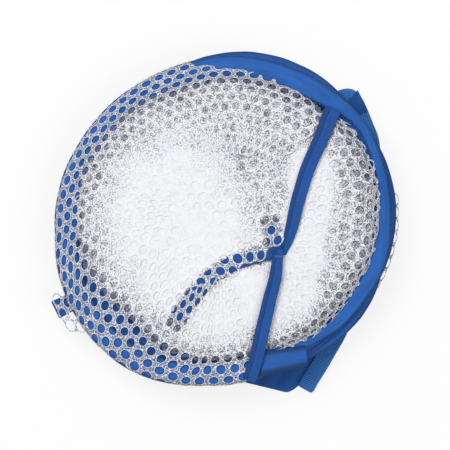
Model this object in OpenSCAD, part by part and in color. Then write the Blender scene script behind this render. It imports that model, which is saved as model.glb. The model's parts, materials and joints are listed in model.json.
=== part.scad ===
// Pop-up mesh basket, twist-folded flat into a disc.
// Two closed spring-steel hoops, one in the front panel and one in the back
// panel, are each coiled into three turns. A turn of each hoop makes one lobe,
// and the three lobes lie on each other: lower, middle and top. Between them lie
// the bunched net panels. The top lobe carries the net stretched over its rim,
// the bound seam with its ties, and the flat end of a hoop sleeve. The two
// carrying straps and a corner of the hem stick out from under the lower lobe.
// Millimetres, +Z up. The origin is under the middle of the disc, on the
// surface that it lies on.

/* [Hoop turns] */
// Half-width of the disc across its short axis, over the front hoop's top turn
disc_r = 117.5; // [110:0.5:145]
// How much longer that half-width is along the long axis
disc_stretch = 11; // [0:0.5:16]
// How much tighter than the disc the back hoop's top turn is
back_top_step = -0.5; // [-4:0.5:12]
// How much tighter than the disc the front hoop's middle turn is
front_middle_step = 10; // [2:0.5:16]
// How much tighter than the disc the back hoop's middle turn is
back_middle_step = 8.5; // [2:0.5:16]
// How much tighter than the disc the front hoop's lower turn is
front_lower_step = 14; // [4:0.5:20]
// How much tighter than the disc the back hoop's lower turn is
back_lower_step = 7.5; // [2:0.5:16]

/* [Sleeves and wire] */
// Width of a flattened hoop sleeve
sleeve_w = 18; // [12:0.5:24]
// Thickness of a flattened hoop sleeve
sleeve_t = 4.6; // [3.8:0.1:7]
// Diameter of the spring-steel wire
wire_d = 2.2; // [1.2:0.1:2.6]
// Length of the crimped ferrule that closes a hoop
ferrule_l = 14; // [8:0.5:24]
// Wall of that ferrule
ferrule_wall = 0.5; // [0.3:0.1:0.6]

/* [Net, tape and webbing] */
// Thickness of the net stretched over the top lobe
net_t = 1.2; // [0.6:0.1:2.5]
// Width of the seam binding tape
tape_w = 10; // [6:0.5:16]
// Thickness of the folded seam binding
tape_t = 1.2; // [0.6:0.1:2.5]
// Width of the tie ribbon
ribbon_w = 11.5; // [8:0.5:16]
// Thickness of the tie ribbon
ribbon_t = 1; // [0.4:0.1:2]
// Width of the strap webbing
strap_w = 13; // [9:0.5:18]
// Thickness of the strap webbing
strap_t = 1.5; // [0.8:0.1:2.5]
// Thickness of the fabric at the hem corner
hem_t = 1.2; // [0.6:0.1:2.5]

/* [Hidden] */
$fn = 96;

// Gap between soft pieces that lie on or beside each other
gap = 0.3;
// Radial clearance of the wire in its sleeve, and of the wire in its ferrule
wire_clear = 0.25;
ferrule_clear = 0.05;
// Cut between the two ends of a turn, where the hoop crosses to the next lobe
crossover_gap = 8;
// Directions of the two crossovers, and the long axis of the top turn, in degrees
lower_cross = 45;
upper_cross = -53;
long_axis = 45;
// The end arcs of an oval turn are tighter than its short half-width by this
end_tighten = 7.5;

// Heights. Each sleeve is one level.
pitch = sleeve_t + gap;
stack_top = 6 * pitch - gap;
tie_z = stack_top + gap;
cover_z = tie_z + ribbon_t + gap;
tape_z = cover_z + net_t + gap;
lower_tape_z = tape_z + tape_t + gap;
bartack_t = 0.5;

// Places on the disc are given for a disc of this radius and move with it.
drawn_r = 117.5;
function placed(p) = p * disc_r / drawn_r;
function placed_all(points) = [for (p = points) placed(p)];

// Turns: centre and the arcs of the sleeve's outer edge
front_top = [placed([-3, 3]), oval_arcs(disc_r + disc_stretch, disc_r)];
back_top = [placed([4, 6]), round_arc(disc_r - back_top_step)];
front_middle = [placed([22.5, 7.4]), round_arc(disc_r - front_middle_step)];
back_middle = [placed([12, -6]), round_arc(disc_r - back_middle_step)];
front_lower = [placed([13.6, 25.8]), round_arc(disc_r - front_lower_step)];
back_lower = [placed([0, 14]), round_arc(disc_r - back_lower_step)];

// Levels of the turns, from the floor up
back_lower_level = 0;
front_lower_level = 1;
front_middle_level = 2;
back_middle_level = 3;
back_top_level = 4;
front_top_level = 5;

// An arc is its centre, radius, start angle and sweep.
function round_arc(r) = [[[0, 0], r, 0, 360]];
function oval_arcs(long_r, short_r) =
    let (
        end_r = short_r - end_tighten,
        d = long_r - end_r,
        h = (d * d - end_tighten * end_tighten) / (2 * end_tighten),
        side_r = end_r + norm([d, h]),
        turn = atan2(h, d)
    )
    h < 0.01 ? round_arc(short_r) : [
        [[d, 0], end_r, -turn, 2 * turn],
        [[0, -h], side_r, turn, 180 - 2 * turn],
        [[-d, 0], end_r, 180 - turn, 2 * turn],
        [[0, h], side_r, 180 + turn, 180 - 2 * turn]
    ];
// Unit vector, and how far a round turn reaches in a direction
function along(angle) = [cos(angle), sin(angle)];
function reach(turn, angle) = turn[0] * along(angle) + turn[1][0][1];
// How far the top turn reaches, its centre's share included
function top_reach(angle) =
    front_top[0] * along(angle)
    + norm([(disc_r + disc_stretch) * cos(angle - long_axis), disc_r * sin(angle - long_axis)]);
// Outline of a strip of width w along a path
function side_dir(path, i) =
    let (a = path[max(i - 1, 0)], b = path[min(i + 1, len(path) - 1)], v = (b - a) / norm(b - a))
    [-v[1], v[0]];
function strip(path, w) = concat(
    [for (i = [0 : len(path) - 1]) path[i] + side_dir(path, i) * w / 2],
    [for (i = [len(path) - 1 : -1 : 0]) path[i] - side_dir(path, i) * w / 2]
);

// A profile swept round a turn: x = 0 is the outer edge, x < 0 is inwards
module swept(turn) {
    translate(turn[0])
        rotate(long_axis)
            for (arc = turn[1])
                translate(arc[0])
                    rotate(arc[2])
                        rotate_extrude(angle = arc[3])
                            translate([arc[1], 0])
                                children();
}
// The full area inside a turn, less an inset from its outer edge
module filled(turn, inset, z, t) {
    translate(turn[0])
        rotate(long_axis)
            for (arc = turn[1])
                translate(arc[0])
                    rotate(arc[2])
                        rotate_extrude(angle = arc[3])
                            translate([0, z])
                                square([arc[1] - inset, t]);
}
// Cuts a turn open where it crosses to the next lobe
module opened(turn, direction) {
    difference() {
        children();
        translate(turn[0])
            rotate(direction)
                translate([0, -crossover_gap / 2, -1])
                    cube([2 * max([for (arc = turn[1]) arc[1]]), crossover_gap, stack_top + 2]);
    }
}
module flat_sleeve_profile() {
    end_r = sleeve_t / 2;
    difference() {
        union() {
            translate([-sleeve_w + end_r, 0])
                square([sleeve_w - sleeve_t, sleeve_t]);
            for (x = [-sleeve_w + end_r, -end_r])
                translate([x, end_r])
                    circle(end_r);
        }
        translate([-sleeve_w / 2, end_r])
            circle(wire_d / 2 + wire_clear);
    }
}
module sleeve(turn, level, direction) {
    opened(turn, direction)
        swept(turn)
            translate([0, level * pitch])
                flat_sleeve_profile();
}
// A sleeve with a pocket in it for the ferrule, opposite its open end
module ferrule_sleeve(turn, level, direction) {
    difference() {
        sleeve(turn, level, direction);
        ferrule_tube(turn, level, direction, 0, ferrule_clear + ferrule_wall + wire_clear, ferrule_l + 2 * gap);
    }
}
module wire(turn, level, direction) {
    opened(turn, direction)
        swept(turn)
            translate([-sleeve_w / 2, level * pitch + sleeve_t / 2])
                circle(wire_d / 2, $fn = 12);
}
// A short curved tube round the wire of a round turn, opposite its open end
module ferrule_tube(turn, level, direction, inner, outer, l) {
    wire_r = turn[1][0][1] - sleeve_w / 2;
    sweep = l / wire_r * 180 / PI;
    translate(turn[0])
        rotate(direction + 180 - sweep / 2)
            rotate_extrude(angle = sweep)
                translate([wire_r, level * pitch + sleeve_t / 2])
                    difference() {
                        circle(wire_d / 2 + outer);
                        if (inner > 0)
                            circle(wire_d / 2 + inner);
                    }
}
module plate(outline, z, t) {
    translate([0, 0, z])
        linear_extrude(t)
            polygon(outline);
}

// Hoop wires
module front_wire_lower() { color("silver") wire(front_lower, front_lower_level, lower_cross); }
module front_wire_middle() { color("silver") wire(front_middle, front_middle_level, lower_cross); }
module front_wire_top() { color("silver") wire(front_top, front_top_level, upper_cross); }
module back_wire_lower() { color("silver") wire(back_lower, back_lower_level, lower_cross); }
module back_wire_middle() { color("silver") wire(back_middle, back_middle_level, lower_cross); }
module back_wire_top() { color("silver") wire(back_top, back_top_level, upper_cross); }

// Ferrules that close the two hoops
module hoop_ferrule(turn, level) {
    color("goldenrod")
        ferrule_tube(turn, level, lower_cross, ferrule_clear, ferrule_clear + ferrule_wall, ferrule_l);
}
module front_ferrule() { hoop_ferrule(front_lower, front_lower_level); }
module back_ferrule() { hoop_ferrule(back_lower, back_lower_level); }

// Sleeves
module front_sleeve_lower() {
    color("royalblue") ferrule_sleeve(front_lower, front_lower_level, lower_cross);
}
module front_sleeve_middle() { color("royalblue") sleeve(front_middle, front_middle_level, lower_cross); }
module front_sleeve_top() { color("royalblue") sleeve(front_top, front_top_level, upper_cross); }
module back_sleeve_lower() {
    color("mediumblue") ferrule_sleeve(back_lower, back_lower_level, lower_cross);
}
module back_sleeve_middle() { color("mediumblue") sleeve(back_middle, back_middle_level, lower_cross); }
module back_sleeve_top() { color("mediumblue") sleeve(back_top, back_top_level, upper_cross); }

// Bunched nets fill the middle of each lobe, inside both of its sleeves
module lobe_net(lower_turn, upper_turn, level) {
    inset = sleeve_w + gap;
    middle_z = (level + 1) * pitch - gap / 2;
    filled(lower_turn, inset, level * pitch + gap, pitch - 3 * gap / 2);
    filled(upper_turn, inset, middle_z, pitch - gap / 2);
}
module base_net() { color("ghostwhite") lobe_net(back_lower, front_lower, back_lower_level); }
module back_net() { color("ghostwhite") lobe_net(front_middle, back_middle, front_middle_level); }
module left_net() { color("white") lobe_net(back_top, front_top, back_top_level); }

// The bound seam that crosses the top lobe, from the upper crossing to the rim
seam_upper = placed_all([[79, 80], [67, 53], [55, 14], [49, -22]]);
seam_lower = placed_all([[41, -20], [38, -46], [29, -81], [20, -111]]);
far = 2 * disc_r;
// Everything on one side of the seam: -1 is left, 1 is right
module seam_side(side) {
    shift = [side * gap / 2, 0];
    seam = concat([[100, far]], [seam_upper[0]], [seam_upper[1]], [seam_upper[2]],
                  [seam_lower[0]], [seam_lower[1]], [seam_lower[2]], [seam_lower[3]], [[0, -far]]);
    plate(concat([for (p = seam) p + shift], [[side * far, -far], [side * far, far]]), 0, 2 * stack_top);
}
// The stretch of rim that the front net wraps: left of this line
rim_wrap_start = [-6, far];
rim_wrap_end = [12, -far];
module front_net() {
    skirt_low = front_top_level * pitch + gap;
    color("whitesmoke") {
        intersection() {
            filled(front_top, sleeve_w - 1, cover_z, net_t);
            seam_side(-1);
        }
        intersection() {
            swept(front_top) {
                translate([-sleeve_w, cover_z])
                    square([sleeve_w + gap + net_t, net_t]);
                translate([gap, skirt_low])
                    square([net_t, cover_z + net_t - skirt_low]);
            }
            plate([rim_wrap_start, [-far, far], [-far, -far], rim_wrap_end], 0, 2 * stack_top);
        }
    }
}
module right_net() {
    color("whitesmoke")
        intersection() {
            filled(front_top, sleeve_w + gap, cover_z, net_t);
            seam_side(1);
        }
}

module seam_tape_upper() { color("royalblue") plate(strip(seam_upper, tape_w), tape_z, tape_t); }
module seam_tape_lower() { color("royalblue") plate(strip(seam_lower, tape_w), lower_tape_z, tape_t); }
// Dense stitches that hold the ties to the seam
module tie_bartack() {
    color("navy")
        translate([seam_lower[0][0] - 3, seam_lower[0][1] - 6, lower_tape_z + tape_t])
            cube([6, 2, bartack_t]);
}

// Ties that lie under the front net, with a slanted end on the long one
tie_root = seam_lower[0] + [-5, -6];
long_tie_path = [for (p = [[0, 0], [-19, -7], [-36, -15], [-52, -24], [-63, -35], [-71, -47]]) tie_root + p];
module long_tie() { color("royalblue") plate(strip(long_tie_path, ribbon_w), tie_z, ribbon_t); }
module tie_tail() {
    color("royalblue")
        plate(strip([tie_root + [3, 0.5 + ribbon_w / 2 + gap], tie_root + [4, 25]], ribbon_w), tie_z, ribbon_t);
}
// A third ribbon end that sticks out from under the rim of the top lobe
rim_tie_dir = 207;
rim_tie_out = 14;
module rim_tie() {
    inner = reach(back_top, rim_tie_dir) + 2 * gap;
    outer = top_reach(rim_tie_dir) + rim_tie_out;
    color("royalblue")
        rotate(rim_tie_dir)
            plate([[inner, -ribbon_w / 2], [outer, -ribbon_w / 2], [outer + 1, ribbon_w / 2],
                   [inner, ribbon_w / 2]],
                  front_top_level * pitch - 2 * gap - ribbon_t, ribbon_t);
}
// Flat end of the front hoop's sleeve, lying on the top turn
module sleeve_end_patch() {
    color("royalblue") plate(placed_all([[31, -95], [61, -91], [63, -107], [27, -114]]), tie_z, ribbon_t);
}

// Corner of the hem that spreads out from under the lower lobe
module hem_corner() {
    color("mediumblue")
        difference() {
            plate(placed_all([[14, -104], [14, -120], [52, -129.5], [58, -126], [78, -94], [98, -66],
                              [84, -52], [40, -76]]), gap, hem_t);
            filled(back_lower, -gap, -1, sleeve_t + 2);
        }
}

// Carrying straps. Each is hinged along a line just outside the rims above it.
strap_clear = 1.5;
upper_strap_dir = 37;
upper_strap_z = gap;
upper_hinge = reach(front_lower, upper_strap_dir) + strap_clear;
lower_strap_dir = -60;
lower_strap_z = hem_t + 2 * gap;
lower_hinge = reach(back_middle, lower_strap_dir) + strap_clear;
// How far the straps stand out past their hinge lines
upper_strap_out = 9.5;
lower_strap_out = 20.5;

module upper_strap() {
    out = upper_strap_out;
    color("cornflowerblue")
        rotate(upper_strap_dir)
            translate([upper_hinge + gap, 0])
                plate([[0, -22], [4, -16], [0.9 * out, 6], [out, 15], [0.9 * out, 21], [0, 27]],
                      upper_strap_z, strap_t);
}
// The sewn ends reach in under the rim to the lower turn
module strap_ends(direction, inner, outer, z, spans) {
    rotate(direction)
        for (span = spans)
            plate([[inner, span[0]], [outer, span[0]], [outer, span[1]], [inner, span[1]]], z, strap_t);
}
module upper_strap_ends() {
    color("cornflowerblue")
        difference() {
            strap_ends(upper_strap_dir, upper_hinge - 26, upper_hinge, upper_strap_z,
                       [[-22, -22 + strap_w], [27 - strap_w, 27]]);
            filled(back_lower, -gap, -1, sleeve_t + 2);
        }
}
module lower_strap() {
    out = lower_strap_out;
    lean = out / 2;
    color("cornflowerblue")
        rotate(lower_strap_dir)
            translate([lower_hinge + gap, 0])
                plate([[0, 7.5], [0, 35], [out, -5], [out - lean, -5 - strap_w / 2]],
                      lower_strap_z, strap_t);
}
module lower_strap_ends() {
    color("cornflowerblue")
        strap_ends(lower_strap_dir, lower_hinge - 14, lower_hinge, lower_strap_z, [[8, 35]]);
}
// Box stitches on the sewn ends
stitch_t = 0.5;
module box_stitch(direction, at, z) {
    side = 8;
    thread = 1.2;
    rotate(direction)
        translate([at[0] - side / 2, at[1] - side / 2, z])
            difference() {
                cube([side, side, stitch_t]);
                translate([thread, thread, -1])
                    cube([side - 2 * thread, side - 2 * thread, stitch_t + 2]);
            }
}
module upper_strap_stitches() {
    color("navy")
        for (t = [-22 + strap_w / 2, 27 - strap_w / 2])
            box_stitch(upper_strap_dir, [upper_hinge - 6, t], upper_strap_z + strap_t);
}
module lower_strap_stitches() {
    color("navy")
        for (t = [14, 28])
            box_stitch(lower_strap_dir, [lower_hinge - 7, t], lower_strap_z + strap_t);
}

front_wire_lower();
front_wire_middle();
front_wire_top();
back_wire_lower();
back_wire_middle();
back_wire_top();
front_ferrule();
back_ferrule();
front_sleeve_lower();
front_sleeve_middle();
front_sleeve_top();
back_sleeve_lower();
back_sleeve_middle();
back_sleeve_top();
base_net();
back_net();
left_net();
front_net();
right_net();
seam_tape_upper();
seam_tape_lower();
tie_bartack();
long_tie();
tie_tail();
rim_tie();
sleeve_end_patch();
hem_corner();
upper_strap();
upper_strap_ends();
upper_strap_stitches();
lower_strap();
lower_strap_ends();
lower_strap_stitches();
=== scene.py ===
import json
import math

import bmesh
import bpy
from mathutils import Matrix, Vector, noise


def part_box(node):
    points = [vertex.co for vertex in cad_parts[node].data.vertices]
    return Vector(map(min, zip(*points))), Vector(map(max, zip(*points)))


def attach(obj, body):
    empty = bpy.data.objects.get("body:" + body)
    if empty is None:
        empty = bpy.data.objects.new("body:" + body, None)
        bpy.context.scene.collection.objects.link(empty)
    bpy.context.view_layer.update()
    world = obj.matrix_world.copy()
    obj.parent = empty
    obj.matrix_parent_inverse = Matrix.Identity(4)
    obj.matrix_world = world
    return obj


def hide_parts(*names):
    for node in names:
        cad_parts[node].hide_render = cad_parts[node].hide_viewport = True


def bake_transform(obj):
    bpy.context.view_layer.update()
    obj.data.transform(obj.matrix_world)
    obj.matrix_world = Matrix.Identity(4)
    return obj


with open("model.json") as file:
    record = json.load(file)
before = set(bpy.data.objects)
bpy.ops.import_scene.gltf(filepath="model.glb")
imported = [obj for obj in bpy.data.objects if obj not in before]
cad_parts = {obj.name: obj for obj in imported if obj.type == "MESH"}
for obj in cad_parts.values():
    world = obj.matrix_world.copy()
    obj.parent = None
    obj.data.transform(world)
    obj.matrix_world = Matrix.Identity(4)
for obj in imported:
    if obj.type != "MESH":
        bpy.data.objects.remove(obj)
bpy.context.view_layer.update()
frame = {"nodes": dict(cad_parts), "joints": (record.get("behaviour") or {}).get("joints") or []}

bl_info = {
    "name": "Folded Mesh Basket",
    "version": (1, 0, 0),
    "blender": (4, 5, 0),
    "location": "View3D > Sidebar > Basket",
    "description": "Builds the fabric, net, webbing and hoops of a pop-up mesh basket twisted flat",
    "category": "Object",
}

MM = 0.001
CM = 0.01
ROOT_3 = math.sqrt(3)
LOWER, MIDDLE, TOP = "lower_lobe", "middle_lobe", "top_lobe"

# Sizes of the open basket, and flat widths of its narrow cloths, in metres.
BINDING_WIDTH, RIBBON_WIDTH, WEBBING_WIDTH = 0.0105, 0.0115, 0.013
FOLD_LINE = 0.38  # where a binding's crease runs, in centimetres from its left edge
TIE_LIFT = 0.45 * MM  # how far a tie lies above the bunched net
ABOVE_FLOOR = 0.1 * MM  # the least height of a sleeve
FERRULE_INSET = 9 * MM  # how far inside the lower turns' outer edge the ferrules lie

# Rings: sides of a bar, and steps round the ring.
RING_BAR = 0.02
SLEEVE_SIDES, SLEEVE_STEPS = 28, 400
WIRE_SIDES, WIRE_STEPS = 10, 240
WIRE_GIRTH = 7 * MM
SEWN_AT = -0.93  # where the stitches run across a sleeve, -1 being its inner edge
STITCH_TURN = 0.004  # half the angle over which a stitch's direction is taken
CROSSING_WIDTH, CROSSING_HEIGHT, CROSSING_SEED = 0.82, 0.9, 77.0
GLOW_SHARE = 0.8  # how much of the floor's brightness is its own, where it is seen


# --------------------------------------------------------------------------
# Settings
# --------------------------------------------------------------------------


def length_setting(name, description, default, least):
    return bpy.props.FloatProperty(name=name, description=description, default=default, min=least, unit="LENGTH")


def colour_setting(name, description, red, green, blue):
    return bpy.props.FloatVectorProperty(name=name, description=description, default=(red, green, blue, 1), size=4,
                                         min=0, max=1, subtype="COLOR")


class HoopSettings(bpy.types.PropertyGroup):
    """Sizes of the hoop sleeves and of the wire in them."""

    sleeve_thickness: length_setting("Sleeve thickness", "Height of a sleeve lying flat", 4.9 * MM, 2 * MM)
    wire_diameter: length_setting("Wire diameter", "Diameter of the spring wire", 2.2 * MM, 0.5 * MM)
    crease_depth: bpy.props.FloatProperty(
        name="Crease depth", description="How deep the long creases of a sleeve are, as a share of its height",
        default=0.42, min=0, max=0.8, subtype="FACTOR")
    stitch_spacing: length_setting("Stitch spacing", "Distance between the stitches along a sleeve", 3.4 * MM, 1.5 * MM)


class NetSettings(bpy.types.PropertyGroup):
    """Sizes of the knitted net."""

    pitch: length_setting("Pitch", "Distance between the middles of neighbouring holes, relaxed", 9.75 * MM, 4 * MM)
    wall: length_setting("Wall", "Width of the knitted wall between two holes", 2.3 * MM, 0.6 * MM)
    rim_wall: length_setting("Wall over the rim", "Width of the knitted wall where the net is stretched over the rim",
                     2.5 * MM, 0.6 * MM)
    crumple: length_setting("Crumple", "Height of the creases in the bunched net", 1.6 * MM, 0)


class ColourSettings(bpy.types.PropertyGroup):
    """Colours of the fabrics and threads."""

    sleeve: colour_setting("Sleeve", "Colour of the hoop sleeves", 0.017, 0.106, 0.390)
    tape: colour_setting("Tape", "Colour of the seam binding and the ties", 0.010, 0.076, 0.300)
    webbing: colour_setting("Webbing", "Colour of the carrying straps", 0.030, 0.150, 0.440)
    net: colour_setting("Net", "Colour of the net's filaments", 0.86, 0.865, 0.90)
    thread: colour_setting("Thread", "Colour of the sewing thread", 0.012, 0.058, 0.23)


class StageSettings(bpy.types.PropertyGroup):
    """Camera, lamps and floor."""

    camera_height: length_setting("Camera height", "Height of the camera above the floor", 3.03, 0.5)
    lens: bpy.props.FloatProperty(
        name="Lens", description="Focal length", default=320, min=20, subtype="DISTANCE_CAMERA")
    key_power: bpy.props.FloatProperty(
        name="Key lamp", description="Power of the main soft box", default=36, min=0, unit="POWER")
    ambient: bpy.props.FloatProperty(
        name="Ambient", description="Strength of the light from all round", default=0.42, min=0)


# --------------------------------------------------------------------------
# Shaders
# --------------------------------------------------------------------------


class Signal:
    """A shader socket that takes part in sums."""

    def __init__(self, shader, socket):
        self.shader, self.socket = shader, socket

    def math(self, operation, *others):
        return self.shader.math(operation, self, *others)

    def __add__(self, other):
        return self.math("ADD", other)

    def __sub__(self, other):
        return self.math("SUBTRACT", other)

    def __mul__(self, other):
        return self.math("MULTIPLY", other)

    def __radd__(self, other):
        return self.shader.math("ADD", other, self)

    def __rsub__(self, other):
        return self.shader.math("SUBTRACT", other, self)

    def __rmul__(self, other):
        return self.shader.math("MULTIPLY", other, self)


class Tree:
    """The nodes of a material or of the world."""

    def __init__(self, owner):
        owner.use_nodes = True
        self.nodes, self.links = owner.node_tree.nodes, owner.node_tree.links

    def node(self, kind, settings=None, inputs=None):
        """A node with its settings made first, then the values or links of its sockets."""
        made = self.nodes.new(kind)
        for name, value in (settings or {}).items():
            setattr(made, name, value)
        for name, value in (inputs or {}).items():
            self.feed(made.inputs[name], value)
        return made

    def feed(self, socket, value):
        if isinstance(value, Signal):
            self.links.new(value.socket, socket)
        else:
            socket.default_value = value

    def signal(self, kind, settings=None, inputs=None, output=0):
        return Signal(self, self.node(kind, settings, inputs).outputs[output])

    def math(self, operation, *values):
        return self.signal("ShaderNodeMath", {"operation": operation}, dict(enumerate(values)))

    def place(self):
        return self.signal("ShaderNodeTexCoord", output="Object")

    def uv(self):
        return self.signal("ShaderNodeUVMap", {"uv_map": "UVMap"})

    def parts(self, vector):
        split = self.node("ShaderNodeSeparateXYZ", None, {0: vector})
        return [Signal(self, split.outputs[i]) for i in range(3)]

    def scaled(self, vector, scale):
        return self.signal("ShaderNodeVectorMath", {"operation": "MULTIPLY"}, {0: vector, 1: scale})

    def cloud(self, vector, scale, detail=2.0, roughness=0.5):
        return self.signal("ShaderNodeTexNoise", None,
                           {"Vector": vector, "Scale": scale, "Detail": detail, "Roughness": roughness})

    def web(self, vector, scale):
        """Distance from a net of crossing lines, as a share of its mesh."""
        return self.signal("ShaderNodeTexVoronoi", {"feature": "DISTANCE_TO_EDGE"},
                           {"Vector": vector, "Scale": scale}, output="Distance")

    def remap(self, value, low, high, to_low=0.0, to_high=1.0):
        return self.signal("ShaderNodeMapRange", {"interpolation_type": "SMOOTHSTEP"},
                           {"Value": value, "From Min": low, "From Max": high, "To Min": to_low, "To Max": to_high})

    def blend(self, factor, a, b):
        return self.signal("ShaderNodeMix", {"data_type": "RGBA"}, {0: factor, 6: a, 7: b}, output=2)

    def seen(self):
        """1 where the camera sees something itself, in a reflection or through glass, else 0."""
        path = self.node("ShaderNodeLightPath")
        camera, glossy, through = (Signal(self, path.outputs[f"Is {ray} Ray"])
                                   for ray in ("Camera", "Glossy", "Transmission"))
        return camera.math("MAXIMUM", glossy).math("MAXIMUM", through)


class Shader(Tree):
    """A material with one Principled BSDF and the nodes that feed it."""

    def __init__(self, name):
        self.material = bpy.data.materials.new(name)
        super().__init__(self.material)
        self.surface = self.nodes["Principled BSDF"]

    def attribute(self, name):
        return self.signal("ShaderNodeAttribute", {"attribute_name": name}, output="Fac")

    def set(self, name, value):
        self.feed(self.surface.inputs[name], value)

    def relief(self, height, distance, strength=1.0):
        bump = self.signal("ShaderNodeBump", None, {"Height": height, "Distance": distance, "Strength": strength})
        self.set("Normal", bump)


def shade_of(colour, share):
    """The colour made lighter or darker, its alpha kept."""
    return tuple(min(1.0, c * share) for c in colour[:3]) + (1.0,)


SLEEVE_GIRTH = 4.0  # way round a sleeve on its UV map, in centimetres


def taffeta(name, colour, weave=0.034, streaks=1.0, tone_and_shading=0.16):
    """Thin plain-woven polyester, with painted light and shade along its long creases. Its UV map runs along the piece
    in centimetres, then across it.
    """
    shader = Shader(name)
    uv = shader.uv()
    along, across, _ = shader.parts(uv)
    turn = 2 * math.pi / weave
    threads = (along * turn).math("SINE") * (across * turn).math("SINE")
    streak = shader.cloud(shader.scaled(uv, (0.35, 2.6, 1)), 1.0, 3.0, 0.55)
    patch = shader.cloud(uv, 0.28, 2.0)
    worn = shader.cloud(uv, 9.0, 2.0)
    # Painted light and shade: the colour goes lighter and darker along the streaks that also raise the long creases in
    # the bump, mixed with a slow random tone from the patches.
    tone = shader.remap(streak * 0.6 * streaks + patch * 0.4, 0.2, 0.75)
    base = shader.blend(tone, shade_of(colour, 1 - tone_and_shading), shade_of(colour, 1 + tone_and_shading))
    base = shader.blend(shader.remap(threads, -1, 1, 0, 0.10), base, shade_of(colour, 1.5))
    shader.set("Base Color", base)
    shader.set("Roughness", shader.remap(worn, 0.3, 0.7, 0.50, 0.62))
    shader.relief(threads * 0.25 + streak * 1.6 * streaks + worn * 0.3, 0.35 * MM, 0.6)
    shader.set("Specular IOR Level", 0.22)
    return shader


def paint_light_and_shade(shader, share):
    """Paints light and shade into the material's colour: makes it darker or lighter by a share that varies over it."""
    colour = Signal(shader, shader.surface.inputs["Base Color"].links[0].from_socket)
    shader.set("Base Color", shader.signal("ShaderNodeVectorMath", {"operation": "SCALE"}, {0: colour, "Scale": share}))


def sleeve_fabric(colours):
    """Taffeta with painted shade: darker along the folded edge and the seam of a sleeve, a little lighter between."""
    shader = taffeta("sleeve_fabric", colours.sleeve, tone_and_shading=0.24)
    _, across, _ = shader.parts(shader.uv())
    out = (across * (2 * math.pi / SLEEVE_GIRTH)).math("COSINE").math("ABSOLUTE")
    # Painted shade along both edges of the sleeve, for the dark line where one strand lies against the next.
    paint_light_and_shade(shader, shader.remap(out, 0.62, 1.0, 1.04, 0.38))
    return shader.material


def hem_fabric(colours):
    return taffeta("hem_fabric", shade_of(colours.sleeve, 0.95), streaks=0.6).material


def binding_tape(colours):
    """Folded binding: one edge is doubled under. Painted shade darkens that doubled part and the crease, and painted
    light brightens the rest.
    """
    shader = taffeta("binding_tape", colours.tape, streaks=0.5)
    uv = shader.uv()
    _, across, _ = shader.parts(uv)
    # Painted shade in the crease and over the doubled-under part, painted light over the rest.
    crease = shader.remap((across - FOLD_LINE).math("ABSOLUTE"), 0.0, 0.05, 0.45, 1.0)
    fold_shading = crease * shader.remap(across, FOLD_LINE - 0.04, FOLD_LINE + 0.04, 0.80, 1.15)
    paint_light_and_shade(shader, fold_shading)
    return shader.material


def ribbon(colours):
    """Narrow woven ribbon with fine ribs across it."""
    shader = Shader("ribbon")
    uv = shader.uv()
    along, across, _ = shader.parts(uv)
    ribs = (along * (2 * math.pi / 0.055)).math("SINE")
    patch = shader.cloud(uv, 1.2, 3.0)
    base = shader.blend(shader.remap(patch, 0.3, 0.7), shade_of(colours.tape, 0.85), shade_of(colours.tape, 1.15))
    shader.set("Base Color", base)
    shader.set("Roughness", shader.remap(patch, 0.3, 0.7, 0.42, 0.55))
    shader.relief(ribs + patch * 0.6, 0.12 * MM, 0.7)
    shader.set("Specular IOR Level", 0.25)
    return shader.material


def webbing(colours):
    """Twill webbing: raised ribs run slantwise over it."""
    shader = Shader("webbing")
    uv = shader.uv()
    along, across, _ = shader.parts(uv)
    ribs = ((along * 0.8 + across) * (2 * math.pi / 0.17)).math("SINE")
    cross = ((along - across * 0.35) * (2 * math.pi / 0.11)).math("SINE")
    grain = shader.cloud(uv, 14.0, 2.0)
    weave = shader.remap(ribs * 0.7 + cross * 0.45, -1.0, 1.1)
    base = shader.blend(weave, shade_of(colours.webbing, 0.5), shade_of(colours.webbing, 1.5))
    base = shader.blend(shader.remap(grain, 0.35, 0.75, 0, 0.25), base, shade_of(colours.webbing, 1.5))
    shader.set("Base Color", base)
    shader.set("Roughness", shader.remap(weave, 0, 1, 0.7, 0.5))
    shader.relief(weave + grain * 0.2, 0.4 * MM, 0.8)
    shader.set("Specular IOR Level", 0.2)
    return shader.material


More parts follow.
